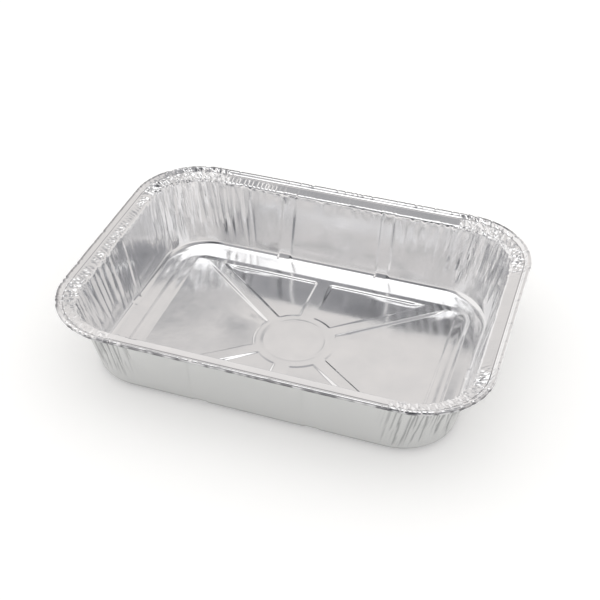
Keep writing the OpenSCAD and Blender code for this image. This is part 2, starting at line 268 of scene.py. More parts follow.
# Stations between one rib and the next: straight lines beside the rib, at set
# distances from its edge, then even steps along the panel's outline.
SLOPE = [STEP_W * t for t in (0, 0.14, 0.32, 0.5, 0.68, 0.86, 1)]
BESIDE = [-2.4, -0.6] + SLOPE + [STEP_W + 0.5]
SIDE_FIELD_LINES, END_FIELD_LINES = 28, 16
# Rings: round the hub, over the fields' slopes and their middle, and over the border
HUB_RINGS = [8, 15, 20] + [RING_R + RING_W * k for k in (-1, -0.66, -0.33, 0, 0.33, 0.66, 1)] \
    + [27.6, 29.3]
NEAR = SLOPE + [STEP_W + 0.5]
MIDDLE_RINGS = 8
BORDER_RINGS = (0.25, 0.6, 0.9)
EDGE_RINGS, EDGE_W = 7, STEP_W + 0.6
WALK_STEPS, WALK_INNER, WALK_OUTER = 600, 0.4, 0.6


def on_rectangle(p, u):
    """Where a ray leaves the rectangle of the fields' outer sides."""
    ways = []
    for axis, low, high in ((0, -FIELD_X, FIELD_X), (1, -FIELD_FRONT, FIELD_BACK)):
        if abs(u[axis]) > 1e-9:
            ways.append(((high if u[axis] > 0 else low) - p[axis]) / u[axis])
    return p + u * min(t for t in ways if t > 0)


def panel_point(p, g):
    """The point at distance g outside the panel's outline that faces p."""
    m = p - PANEL_MID
    k = np.clip(m, [-(PANEL_X - PANEL_R), -(PANEL_Y - PANEL_R)],
                [PANEL_X - PANEL_R, PANEL_Y - PANEL_R])
    return PANEL_MID + k + unit(m - k) * (PANEL_R + g)


def rectangle_walk(a, b, count):
    """Points from a to b against the clock along the rectangle of the fields."""
    def turn(p):
        return math.atan2(p[1], p[0]) % (2 * math.pi)

    ta, tb = turn(a), turn(b)
    if tb <= ta:
        tb += 2 * math.pi
    corners = ((FIELD_X, FIELD_BACK), (-FIELD_X, FIELD_BACK),
               (-FIELD_X, -FIELD_FRONT), (FIELD_X, -FIELD_FRONT))
    between = sorted(((turn(c) - ta) % (2 * math.pi), c) for c in corners)
    path = np.array([a] + [np.array(c) for t, c in between if t < tb - ta] + [b])
    run = np.concatenate([[0], np.cumsum(np.hypot(*np.diff(path, axis=0).T))])
    fine = np.linspace(0, run[-1], WALK_STEPS)
    pts = np.stack([np.interp(fine, run, path[:, 0]), np.interp(fine, run, path[:, 1])], 1)
    edge = np.array([panel_point(p, 0) for p in pts])
    steps = WALK_INNER * np.hypot(*np.diff(pts, axis=0).T) \
        + WALK_OUTER * np.hypot(*np.diff(edge, axis=0).T)
    length = np.concatenate([[0], np.cumsum(steps)])
    want = np.linspace(0, length[-1], count + 2)[1:-1]
    return np.stack([np.interp(want, length, pts[:, 0]),
                     np.interp(want, length, pts[:, 1])], 1)


def floor_stations():
    """Pairs of points: on the hub circle and on the rectangle of the fields."""
    out = []
    for a0, h0, _, a1, h1, _, side, _ in FIELDS:
        lines = []
        for a, h, turn in ((a0, h0, 90), (a1, h1, -90)):
            u = direction(a)
            starts = [HUB + direction(a + turn) * (h + o) for o in BESIDE]
            lines.append([(on_circle(p, u, HUB_R), on_rectangle(p, u)) for p in starts])
        centre = direction(a0)
        out.append((HUB + centre * HUB_R, on_rectangle(HUB, centre)))
        out += lines[0]
        (p0, q0), (p1, q1) = lines[0][-1], lines[1][-1]
        count = SIDE_FIELD_LINES if side % 180 == 0 else END_FIELD_LINES
        t0 = math.atan2(*(p0 - HUB)[::-1])
        t1 = math.atan2(*(p1 - HUB)[::-1])
        if t1 < t0:
            t1 += 2 * math.pi
        for i, q in enumerate(rectangle_walk(q0, q1, count)):
            t = t0 + (t1 - t0) * (i + 1) / (count + 1)
            out.append((HUB + HUB_R * np.array([math.cos(t), math.sin(t)]), q))
        out += lines[1][::-1]
    return out


def floor_grid():
    """Stations x rings x 2: points over the floor, out to just past the panel's foot."""
    rows = []
    for p, q in floor_stations():
        u = unit(p - HUB)
        length = math.hypot(*(q - p))
        v = (q - p) / length
        far = np.linspace(NEAR[-1], length - NEAR[-1], MIDDLE_RINGS + 2)[1:-1]
        e0, e1 = panel_point(q, 0), panel_point(q, EDGE_W)
        row = [HUB + u * r for r in HUB_RINGS]
        row += [p + v * s for s in NEAR] + [p + v * s for s in far]
        row += [q - v * s for s in NEAR[::-1]]
        row += [q * (1 - t) + e0 * t for t in BORDER_RINGS]
        row += [e0 * (1 - t) + e1 * t for t in np.linspace(0, 1, EDGE_RINGS)]
        rows.append(row)
    return np.array(rows)


# The lines that run up the wall and over the rim

BACK_SIDE, LEFT_SIDE, FRONT_SIDE, RIGHT_SIDE = range(4)
CORNER_STEPS = 100
SIDE_STEPS = (158, 106, 60, 92)      # back, left, front, right
SPREAD = math.radians(FOLD_SPREAD) * LIP_CORNER_R
CHANNELS = ((BACK_SIDE, CHANNEL_X), (BACK_SIDE, -CHANNEL_X), (FRONT_SIDE, CHANNEL_X),
            (FRONT_SIDE, -CHANNEL_X), (LEFT_SIDE, 0.0), (RIGHT_SIDE, 0.0))
CHANNEL_LINES = (-0.1, 0.2, 0.5, 0.8, 1.1)   # in shares of a channel's side
CHANNEL_MARGIN = 2
# Clear space beside a channel's side, on a side with few lines and on one with many
FEW_LINES, CLEAR_FEW, CLEAR_MANY = 80, 2, 1.6


def is_long(side):
    return side in (BACK_SIDE, FRONT_SIDE)


def line_places():
    """(corner or side, number, angle or place along the side) for each line."""
    out = []
    for c in (3, 0, 1, 2):
        for k in range(CORNER_STEPS + 1):
            t = -FOLD_SPREAD + (90 + 2 * FOLD_SPREAD) * k / CORNER_STEPS
            out.append(("corner", c, t))
        half = (LIP_X if is_long(c) else LIP_Y) - LIP_CORNER_R - SPREAD
        places = list(np.linspace(-half, half, SIDE_STEPS[c] + 2)[1:-1])
        clear = CLEAR_FEW if SIDE_STEPS[c] < FEW_LINES else CLEAR_MANY
        w = CHANNEL_W / 2
        for m in sorted(mid for side, mid in CHANNELS if side == c):
            places = [x for x in places if abs(abs(x - m) - w + CHANNEL_SIDE / 2) > clear]
            for s in (-1, 1):
                places += [m + s * (w - CHANNEL_SIDE * t) for t in CHANNEL_LINES]
        out += [("side", c, x) for x in sorted(places)]
    return out


PLACES = line_places()
LINES = len(PLACES)


def around(a, b, r):
    """Points and outward directions of all lines on a rounded rectangle."""
    pts, outs = [], []
    for kind, c, x in PLACES:
        if kind == "corner":
            t = max(0.0, min(90.0, x))
            u = direction(90 * c + t)
            past = math.radians(x - t) * LIP_CORNER_R
            m = np.array([(1 if c in (0, 3) else -1) * (a - r), (1 if c < 2 else -1) * (b - r)])
            pts.append(m + u * r + direction(90 * c + t + 90) * past)
        else:
            u = direction(90 * c + 90)
            # past the channels, the lines keep up with the start of the corners
            fixed = CHANNEL_W / 2 + CHANNEL_MARGIN + (CHANNEL_X if is_long(c) else 0)
            lip = (LIP_X if is_long(c) else LIP_Y) - LIP_CORNER_R - SPREAD
            here = (a if is_long(c) else b) - r - SPREAD
            if abs(x) > fixed:
                x = math.copysign(fixed + (abs(x) - fixed) * (here - fixed) / (lip - fixed), x)
            pts.append(u * (b if is_long(c) else a) + direction(90 * c + 180) * x)
        outs.append(u)
    return np.array(pts), np.array(outs)


lip_points, _ = around(LIP_X, LIP_Y, LIP_CORNER_R)
LX, LY = lip_points.T
gaps = np.hypot(*(np.roll(lip_points, -1, 0) - lip_points).T)
RUN = np.concatenate([[0], np.cumsum(gaps)[:-1]])     # place of each line round the lip
ROUND = gaps.sum()
IS_CORNER = np.array([kind == "corner" for kind, _, _ in PLACES])
NUMBER = np.array([c for _, c, _ in PLACES])
PLACE = np.array([x for _, _, x in PLACES])

# Shares of the lines: 1 on a side or in a corner's arc, falling to 0 past it
IN_CORNER = np.where(IS_CORNER, smooth((np.minimum(PLACE, 90 - PLACE) + FOLD_SPREAD)
                                       / (FOLD_SPREAD + 6)), 0.0)
LEFT, RIGHT = step(-LX, 130, 12), step(LX, 130, 12)
BACK, FRONT = step(LY, 90, 12), step(-LY, 90, 12)
BACK_LEFT = BACK * step(-LX, 30, 40)
BACK_CORNERS = IN_CORNER * step(LY, 20, 30)
AWAY_SIDES = np.maximum(LEFT, BACK)
CRINKLED_RIM = np.maximum(IN_CORNER, np.maximum(LEFT, BACK_LEFT))
IN_CHANNEL = np.zeros(LINES)
for side, mid in CHANNELS:
    IN_CHANNEL += np.where(~IS_CORNER & (NUMBER == side),
                           smooth((CHANNEL_W / 2 - np.abs(PLACE - mid)) / CHANNEL_SIDE), 0)


# The section of the wall and the rim

# Zones: from 0 to 1 in the lip's bend, from 1 to 2 over the flange, then these
STRIP, RAMP, ROLL = 2.0, 2.5, 3.0
FOOT_ROWS, LIP_ROWS, FLANGE_ROWS, ROLL_ROWS = 5, 5, 6, 9
WALL_ROWS = (0.1, 0.2, 0.31, 0.42, 0.53, 0.64, 0.75, 0.85, 0.92, 0.97, 1.0)
# Beyond the flange: distance, height and zone. The second row is the groove's crease.
GROOVE_ROWS = ((0.35, 0.0, STRIP), (0.7, -0.12, STRIP), (1.3, 0.0, STRIP), (2.45, 0.95, RAMP))
CREASE_FROM_END = ROLL_ROWS + 3
ROLL_START, ROLL_END = 130, -165     # degrees, over the top from the inner side


def bend(c, a0, a1, r, count):
    """Points of an arc that rounds the corner c between two slopes, in radians."""
    reach = r * math.tan((a1 - a0) / 2)
    p = np.array(c) - reach * np.array([math.cos(a0), math.sin(a0)])
    mid = p + r * np.array([-math.sin(a0), math.cos(a0)])
    return [mid + r * np.array([math.sin(t), -math.cos(t)])
            for t in np.linspace(a0, a1, count)]


def wall_section():
    """(distance outside the floor, height, share of wall, zone of the rim) rows.

    In the lip's bend, the second last value falls from 1 to 0 as the zone grows.
    """
    foot = np.array([0, FLAT_Z + BAND_RISE])
    top = np.array([WALL_LEAN, LIP_Z])
    rows = [(*p, 0.0, 0.0) for p in bend(foot, BAND_ANGLE, WALL_ANGLE, FOOT_R, FOOT_ROWS)]
    low = np.array(rows[-1][:2])
    reach = LIP_R * math.tan((WALL_ANGLE - TILT) / 2)
    high = top - reach * np.array([math.cos(WALL_ANGLE), math.sin(WALL_ANGLE)])
    for t in WALL_ROWS:
        rows.append((*(low * (1 - t) + high * t), t, 0.0))
    mid = high + LIP_R * np.array([math.sin(WALL_ANGLE), -math.cos(WALL_ANGLE)])
    for k, a in enumerate(np.linspace(WALL_ANGLE, TILT, LIP_ROWS + 1)[1:]):
        p = mid + LIP_R * np.array([-math.sin(a), math.cos(a)])
        rows.append((*p, 0.8 - 0.2 * k, 0.2 + 0.2 * k))
    start = rows[-1][0] - WALL_LEAN
    for u in np.linspace(start, FLANGE_END, FLANGE_ROWS + 1)[1:]:
        rows.append((WALL_LEAN + u, LIP_Z + u * math.tan(TILT), 0.0,
                     1.0 + (u - start) / (FLANGE_END - start)))
    flat = LIP_Z + FLANGE_END * math.tan(TILT)
    for u, dz, zone in GROOVE_ROWS:
        rows.append((WALL_LEAN + FLANGE_END + u, flat + dz, 0.0, zone))
    for angle in np.linspace(ROLL_START, ROLL_END, ROLL_ROWS):
        u, v = direction(angle)
        rows.append((WALL_LEAN + RIM_W - BEAD_D / 2 + BEAD_R * u,
                     HEIGHT - BEAD_D / 2 + BEAD_R * v, 0.0, ROLL))
    return rows


SECTION = wall_section()


def ring_corner_r(g):
    """Corner radius of the ring at distance g outside the floor."""
    if g < 0:
        return FLOOR_CORNER_R + g
    if g < WALL_LEAN:
        return FLOOR_CORNER_R + (LIP_CORNER_R - FLOOR_CORNER_R) * g / WALL_LEAN
    return LIP_CORNER_R + g - WALL_LEAN


# Folds, creases and crinkles

def run_at(x, y):
    """Place round the lip of the line nearest to a point."""
    return RUN[np.argmin(np.hypot(LX - x, LY - y))]


# Zones of upright folds, against the clock: from, to, widths, gaps in widths,
# pushes, lowest ends. The corners are closely folded, the sides only here and there.
STRONG = ((2.4, 4.2), (1.0, 1.7), (0.45, 1.1), (0.0, 0.5))
SHARP = ((1.0, 1.7), (1.3, 2.6), (0.25, 0.6), (0.0, 0.75))
SHORT = ((1.1, 1.9), (1.4, 3.0), (0.15, 0.4), (0.35, 0.85))
RARE = ((1.6, 3.5), (3.0, 6.0), (0.1, 0.3), (0.3, 0.8))
FOLD_ZONES = [
    ((84, -LIP_Y), (LIP_X, -66), STRONG), ((80, -LIP_Y), (LIP_X, -60), SHARP),
    ((LIP_X, -60), (LIP_X, 50), RARE),
    ((LIP_X, 52), (92, LIP_Y), STRONG), ((LIP_X, 46), (86, LIP_Y), SHARP),
    ((84, LIP_Y), (52, LIP_Y), RARE),
    ((-84, LIP_Y), (-LIP_X, 52), STRONG), ((-78, LIP_Y), (-LIP_X, 46), SHARP),
    ((-LIP_X, 46), (-LIP_X, 14), SHORT),
    ((-LIP_X, -12), (-88, -LIP_Y), STRONG), ((-LIP_X, -9), (-80, -LIP_Y), SHARP),
]
FULL_HEIGHT, FULL_SHARE, LOW_TOPS = 2.0, 0.7, (0.6, 1.0)
FOLD_DRIFT, TURN_SHARE = 4, 0.75
FOLD_POWER, FOLD_FOOT, FOLD_TOP = 1.2, (-0.05, 0.25), (0, 0.3)


def make_folds():
    """Upright folds: place on the lip, drift, width, push, lower and upper end."""
    out = []
    for a, b, (widths, gaps_between, pushes, ends) in FOLD_ZONES:
        s, end = run_at(*a), run_at(*b)
        end += ROUND if end < s else 0
        sign = 1
        while s < end:
            width = rng.uniform(*widths)
            top = FULL_HEIGHT if rng.random() < FULL_SHARE else rng.uniform(*LOW_TOPS)
            out.append((s % ROUND, rng.uniform(-FOLD_DRIFT, FOLD_DRIFT), width,
                        sign * rng.uniform(*pushes), rng.uniform(*ends), top))
            s += width * rng.uniform(*gaps_between)
            sign = -sign if rng.random() < TURN_SHARE else sign
    return out


# Creases of the back wall and of the left one: from (along, height) to
# (along, height), widths at both ends and push outwards, in mm
BACK_CREASES = [
    (-92, 58, -89, 44, 2.4, 0.8, 0.6), (-75, 58, -75, 50, 2.2, 0.7, 0.6),
    (-58, 58, -47, 54, 1.8, 1.0, 0.5), (54, 58, 57, 50, 2.2, 0.7, 0.6),
    (-46, 53, -53, 39, 1.6, 1.2, 0.4), (-58, 32, -54, 32, 4.5, 4.5, 0.3),
    (-29, 34, -14, 33, 3.0, 2.5, 0.25), (-5, 30, 11, 25, 3.0, 3.0, 0.3),
    (11, 25, 34, 25, 3.0, 2.5, 0.25), (56, 42, 57, 42, 3.5, 3.5, 0.4),
    (65, 30, 66, 30, 3.5, 3.5, 0.4), (66, 57, 68, 40, 1.7, 1.3, 0.4),
    (72, 57, 71, 44, 1.5, 1.3, -0.35), (79, 57, 77, 34, 1.7, 1.3, 0.4),
    (115, 36, 113, 7, 2.0, 1.6, 0.9), (135, 48, 134, 24, 2.0, 1.6, 0.9),
]
LEFT_CREASES = [(6, 50, -3, 4, 1.5, 1.5, -0.45), (12, 32, 12, 2, 1.5, 1.5, -0.4)]
ON_BACK, ON_LEFT = LY > 80, LX < -130


def creases(h):
    """Outward push of the single creases at share h of the wall."""
    z = FLAT_Z + BAND_RISE + (LIP_Z - FLAT_Z - BAND_RISE) * h
    out = np.zeros(LINES)
    for along, here, marks in ((LX, ON_BACK, BACK_CREASES), (LY, ON_LEFT, LEFT_CREASES)):
        for u0, z0, u1, z1, w0, w1, push in marks:
            du, dz = u1 - u0, z1 - z0
            t = np.clip(((along - u0) * du + (z - z0) * dz) / (du * du + dz * dz), 0, 1)
            away = np.hypot(along - u0 - t * du, z - z0 - t * dz)
            out += here * push * np.clip(1 - away / (w0 + (w1 - w0) * t), 0, 1)
    return out


UPRIGHT_CELLS, DIMPLE_CELLS, DENT_CELLS = 420, 60, 760
FOLDS = make_folds()
upright = Noise(UPRIGHT_CELLS, 8)
dimple = Noise(DIMPLE_CELLS, 12)
shake = Noise(2048, 128)
bead_dent = Noise(DENT_CELLS, 4)

# Patterns of the shake noise, one for each use
LEFT_ROW, BACK_LEFT_ROW, BACK_ROW, PLAIN_ROW, CORNER_ROW, FINE_ROW = 0, 10, 20, 30, 40, 50
CRUMPLE_ROW, LEFT_SHAKE_ROW, RAG_ROW, LIP_ROW, SWAY_ROW, PATCH_ROW = 60, 64, 90, 100, 110, 120

# Pleats of the flange: share of the lines, height, period, slant and pattern
FLANGE_PLEATS = ((LEFT, 0.28, 3.4, 2.5, LEFT_ROW), (BACK_LEFT, 0.30, 3.7, 0, BACK_LEFT_ROW),
                 (BACK, 0.18, 3.1, 0, BACK_ROW), (RIGHT + FRONT, 0.04, 2.8, 0, PLAIN_ROW))


def noise_row(s, row):
    return shake(s, np.full(LINES, float(row)))


def pleats(s, period, row):
    """Irregular zigzag along s, from -1 to 1; the row picks the pattern."""
    phase = s / period + 0.45 * noise_row(s / (2.3 * period), row)
    size = 0.65 + 0.35 * noise_row(s / (1.7 * period), row + 1)
    return size * (1 - 4 * np.abs(phase % 1 - 0.5))


def channel_push(h, in_bend=False):
    """Outward push of the upright channels at share h of the wall or of the bend."""
    if in_bend:
        share = 0.5 * h
    else:
        share = (0.5 + 0.5 * step(h, 0, 0.3)) * (1 - 0.5 * step(h, 0.9, 0.1))
    return CHANNEL_D * IN_CHANNEL * share


def channel_foot(h):
    """Lift of the foot of the upright channels."""
    return CHANNEL_FOOT * IN_CHANNEL * (1 - step(h, 0, 0.12))


def wall_push(h, in_bend):
    """Outward push of the wall at share h of its height, in mm, for all lines."""
    out = channel_push(h, in_bend) + creases(h)
    for s, drift, width, push, low, top in FOLDS:
        d = np.abs((RUN - s - drift * (1 - h) + ROUND / 2) % ROUND - ROUND / 2) / width
        ends = step(h - low, *FOLD_FOOT) * (1 - step(h - top, *FOLD_TOP))
        out += push * np.clip(1 - d, 0, 1) ** FOLD_POWER * ends
    # fine ridges in the corners, shallow dimples, and a ragged line below the lip
    ridged = 1 - 2 * np.abs(upright(RUN * UPRIGHT_CELLS / ROUND, np.full(LINES, h * 3)))
    out += 0.15 * ridged * IN_CORNER * step(h, 0, 0.5)
    out += 0.05 * dimple(RUN * DIMPLE_CELLS / ROUND, np.full(LINES, h * 2.2)) * step(h, 0, 0.3)
    out += 0.45 * noise_row(RUN / 1.9, LIP_ROW) * step(h, 0.88, 0.1)
    return out


def flange_lift(w):
    """Lift of the rim in its zone w, in mm, for all lines."""
    inner = step(w, 0, 0.7) * (1 - step(w, 1.5, 0.5))
    across = step(w, 0, 0.4) * (1 - 0.6 * step(w, 1.7, 1.0))
    out = np.zeros(LINES)
    for lines, height, period, slant, row in FLANGE_PLEATS:
        out += height * lines * pleats(RUN + slant * w, period, row) * inner
    out += 0.14 * LEFT * noise_row(RUN / 1.7, LEFT_SHAKE_ROW + 2.6 * w) * inner
    # bent pleats and fine ones round the corners, crumpled in the two at the back
    out += IN_CORNER * across * (0.8 * pleats(RUN + 2.5 * np.sin(2 * w), 5.0, CORNER_ROW)
                                 + 0.35 * pleats(RUN - w, 2.6, FINE_ROW))
    out += 0.5 * BACK_CORNERS * across * noise_row(RUN / 2.1, CRUMPLE_ROW + 3.3 * w)
    # the ragged lip
    out += 0.15 * noise_row(RUN / 2.3, RAG_ROW) * step(w, 0, 0.2) * (1 - step(w, 0.5, 0.5))
    return out


def bead_push():
    """Nicks and small dents of the rolled edge, always inwards."""
    dent = bead_dent(RUN * DENT_CELLS / ROUND, np.full(LINES, 0.5))
    return -0.15 * np.abs(dent) - 0.6 * step(dent, 0.2, 0.4)


def wall_grid():
    """Rings of points over the wall and the rim, and the painted shade in the hollows
    between the folds of the corners, seen from outside."""
    rows, valley_shade = [], []
    for j, (g, z, h, w) in enumerate(SECTION):
        pts, outs = around(FLOOR_X + g, FLOOR_Y + g, ring_corner_r(g))
        push = np.zeros(LINES)
        if h > 0:
            push = wall_push(h, w > 0)
        elif w == 0:
            push = channel_push(0) * smooth(j / (FOOT_ROWS - 1))
        lift = flange_lift(w) if w > 0 else channel_foot(h) * min(1.0, j / 2)
        hollow = np.roll(push, 1) + np.roll(push, -1) - 2 * push
        # painted shade in the hollows between the folds of the corners, on the outside of the wall
        valley_shade.append(np.clip(2.0 * hollow, 0, 0.55) * IN_CORNER * (w == 0))
        if w == ROLL:
            push = bead_push()
            lift = 0.5 * (lift + push)
        sway = 0.3 * noise_row(RUN / 6, SWAY_ROW + 7 * h) * IN_CORNER * step(h, 0, 0.2)
        along = np.column_stack([-outs[:, 1], outs[:, 0]])
        rows.append(np.column_stack([pts + outs * push[:, None] + along * sway[:, None],
                                     z + lift]))
    return np.array(rows), np.concatenate(valley_shade)


BAND_RINGS, BAND_START = (0, 0.3, 0.6, 0.87), STEP_W + 2.2


def band_grid(foot):
    """Rings over the sloping band, from just past the panel to the wall's foot."""
    start = np.array([panel_point(p, BAND_START) for p in foot[:, :2]])
    rows = []
    for t in BAND_RINGS:
        p = start * (1 - t) + foot[:, :2] * t
        rows.append(np.column_stack([p, floor_height(p)]))
    return np.array(rows)


# One closed mesh

def ring_faces(first, second, count):
    """Four-sided faces between two closed rings of count points."""
    return [(first + i, second + i, second + (i + 1) % count, first + (i + 1) % count)
            for i in range(count)]


def joining_faces(inner, outer, first_inner, first_outer):
    """Triangles between two rings whose numbers of points differ, in step by angle."""
    def turns(p):
        return np.arctan2(p[:, 1] * PANEL_X / PANEL_Y, p[:, 0])

    start = turns(inner[:1])[0]
    full = 2 * math.pi
    ta = np.concatenate([(turns(inner) - start) % full, [full]])
    tb = (turns(outer) - start) % full
    shift = int(np.argmin(tb))
    tb = np.concatenate([np.roll(tb, -shift), [full + tb.min()]])
    faces = []
    i = j = 0
    while i < len(inner) or j < len(outer):
        a = first_inner + i % len(inner)
        b = first_outer + (j + shift) % len(outer)
        if j >= len(outer) or (i < len(inner) and ta[i + 1] < tb[j + 1]):
            i += 1
            faces.append((a, b, first_inner + i % len(inner)))
        else:
            j += 1
            faces.append((a, b, first_outer + (j + shift) % len(outer)))
    return faces


def point_normals(points, faces):
    """Normal of the sheet at each point, from the faces around it by their area."""
    normal = np.zeros_like(points)
    for corners in (4, 3):
        f = np.array([q for q in faces if len(q) == corners])
        p = [points[f[:, c]] for c in range(corners)]
        if corners == 4:
            n = np.cross(p[2] - p[0], p[3] - p[1])
        else:
            n = np.cross(p[1] - p[0], p[2] - p[0])
        for c in range(corners):
            np.add.at(normal, f[:, c], n)
    return normal / np.linalg.norm(normal, axis=1)[:, None]


# From this share of a fold zone on, the facets keep their hard edges
CRISP_FROM, FOOT_SHARE, PLAIN_ZONE = 0.35, 0.05, 1.8


def crisp_facets():
    """For the strips between the rows of the wall, the facets with hard edges."""
    out = []
    for _, _, h, w in SECTION[:-1]:
        if h > FOOT_SHARE or w > PLAIN_ZONE:
            out.append(IN_CORNER > CRISP_FROM)
        elif w > 0:
            out.append(CRINKLED_RIM > CRISP_FROM)
        else:
            out.append(np.zeros(LINES, bool))
    return np.concatenate(out)


# Painted shade: a dark line along the groove's crease
CREASE_SHADE = 0.7
# painted shade along the outside of the wall's foot: its share, the rows it covers, and the share on
# the row above them
FOOT_SHADE, FOOT_SHADED, FOOT_SHADE_FADE = 0.8, 3, 0.45
# Painted shade on the roll's rows, counted back from its hidden edge
ROLL_SHADES = ((8, np.maximum(0.6 * LEFT, BACK)), (7, 0.15 + 0.85 * AWAY_SIDES),
               (6, 0.9), (5, 1), (4, 1), (3, 1))


def painted_shades(count, valley_shade):
    """Share of the painted shade at the points of both skins, of count points each."""
    out = np.zeros(2 * count, np.float32)
    # painted shade on the rolled edge, in patches, fuller on the left and back sides and on the
    # right only in its corners
    shade_patches = 0.4 + 0.6 * smooth(0.5 + noise_row(RUN / 2.6, PATCH_ROW))
    outer = np.maximum(shade_patches, 0.9 * AWAY_SIDES) * (1 - RIGHT * (1 - IN_CORNER))
    for row, shade in ROLL_SHADES:
        k = count - row * LINES
        out[k:k + LINES] = outer * shade
    # painted shade along the groove's crease
    crease = count - CREASE_FROM_END * LINES
    out[crease:crease + LINES] = CREASE_SHADE
    foot = 2 * count - len(valley_shade)
    # painted shade along the outside of the wall's foot, fading on the row above, laid over the
    # shade of the fold hollows
    above = foot + FOOT_SHADED * LINES
    out[foot:] = valley_shade
    out[foot:above] = FOOT_SHADE
    out[above:above + LINES] = FOOT_SHADE_FADE
    return out


def build_sheet():
    """Points in metres, faces, which faces are rounded, and the painted shade of the points."""
    grid = floor_grid()
    stations, rings = grid.shape[:2]
    floor_xy = np.concatenate([HUB[None], grid.transpose(1, 0, 2).reshape(-1, 2)])
    floor_points = np.column_stack([floor_xy, floor_height(floor_xy)])
    wall, valley_shade = wall_grid()
    upper = np.concatenate([band_grid(wall[0]), wall])
    points = np.concatenate([floor_points, upper.reshape(-1, 3)])
    base, count = len(floor_points), len(points)

    faces = [(0, 1 + i, 1 + (i + 1) % stations) for i in range(stations)]
    for j in range(rings - 1):
        faces += ring_faces(1 + j * stations, 1 + (j + 1) * stations, stations)
    last = base - stations
    faces += joining_faces(points[last:base], points[base:base + LINES], last, base)
    for j in range(len(upper) - 1):
        faces += ring_faces(base + j * LINES, base + (j + 1) * LINES, LINES)

    # A skin to either side of the middle of the sheet. Both skins start a face at the
    # same corner, so that they split along the same diagonal.
    normal = point_normals(points, faces)
    top = points + normal * FOIL / 2
    under = points - normal * FOIL / 2
    under[:, 2] = np.maximum(under[:, 2], 0)
    skins = faces + [tuple(v + count for v in (q[0], *q[:0:-1])) for q in faces]
    end = count - LINES
    rim = [(a, a + count, b + count, b)
           for a, b in ((end + i, end + (i + 1) % LINES) for i in range(LINES))]

    crisp = crisp_facets()
    one_skin = np.concatenate([np.ones(len(faces) - len(crisp), bool), ~crisp])
    rounded_faces = np.concatenate([one_skin, one_skin, np.ones(LINES, bool)])
    return np.concatenate([top, under]) / MM, skins + rim, rounded_faces, painted_shades(count, valley_shade)


def add_attribute(mesh, name, values):
    layer = mesh.attributes.new(name, "FLOAT", "POINT")
    layer.data.foreach_set("value", values.astype(np.float32))


def make_pan():
    points, faces, rounded_faces, shade = build_sheet()
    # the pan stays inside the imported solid's box
    points = np.clip(points, *(np.array(v) for v in cad_box))
    mesh = bpy.data.meshes.new("foil_pan")
    mesh.from_pydata(points.tolist(), [], faces)
    mesh.update()
    add_attribute(mesh, "inside", np.repeat([1.0, 0.0], len(points) // 2))
    # the roll attribute holds painted shade: dark lines on the rolled edge, the groove's crease, the
    # hollows of the corner folds and the wall's foot
    add_attribute(mesh, "roll", shade)
    mesh.polygons.foreach_set("use_smooth", rounded_faces)
    mesh.materials.append(foil_material())
    pan = bpy.data.objects.new("foil_pan", mesh)
    bpy.context.scene.collection.objects.link(pan)
    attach(pan, "root")
    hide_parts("pan")


# Materials

BRIGHT_LOW, BRIGHT_HIGH = (0.87, 0.875, 0.885, 1), (0.93, 0.93, 0.935, 1)
# the second colour on the next line is the colour of the painted shade
OUTSIDE, PAINTED_SHADE = (0.675, 0.68, 0.675, 1), (0.13, 0.13, 0.14, 1)
OUTSIDE_ROUGH, INSIDE_ROUGH = 0.25, (0.12, 0.16)
NOISE_LOW, NOISE_HIGH = 0.3, 0.7     # what the noise mostly keeps between
# Scale, detail and stretch of each noise
CLOUDS, SMEARS = (38.0, 3.0), (120.0, 4.0)
ROLLING, CRUMPLES = (900.0, 2.0, (0.06, 1, 1)), (150.0, 3.0)
BUMP_STRENGTH, ROLLING_DEPTH, CRUMPLE_DEPTH = 0.10, 0.00004, 0.0003
TABLE_HALF, TABLE_Z = 6.0, -0.00005
TABLE_COLOUR, TABLE_GLOW = (0.86, 0.855, 0.845, 1), 0.23


class Nodes:
    """Short forms for the nodes of one material or world."""

    def __init__(self, tree):
        self.nodes, self.links = tree.nodes, tree.links

    def new(self, kind):
        return self.nodes.new(kind)

    def put(self, value, socket):
        """Links another node's output to a socket, or sets the socket's own value."""
        if isinstance(value, bpy.types.NodeSocket):
            self.links.new(value, socket)
        else:
            socket.default_value = value

    def math(self, kind, a, b):
        node = self.new("ShaderNodeMath")
        node.operation = kind
        self.put(a, node.inputs[0])
        self.put(b, node.inputs[1])
        return node.outputs[0]

    def mix(self, kind, factor, a, b):
        node = self.new("ShaderNodeMix")
        node.data_type = kind
        for name, value in (("Factor", factor), ("A", a), ("B", b)):
            self.put(value, node.inputs[name])
        return node.outputs["Result"]

    def map_range(self, value, low, high, a, b, kind="LINEAR"):
        node = self.new("ShaderNodeMapRange")
        node.interpolation_type = kind
        for name, v in (("From Min", low), ("From Max", high), ("To Min", a), ("To Max", b)):
            node.inputs[name].default_value = v
        self.links.new(value, node.inputs["Value"])
        return node.outputs["Result"]

    def attribute(self, name):
        node = self.new("ShaderNodeAttribute")
        node.attribute_name = name
        return node.outputs["Fac"]


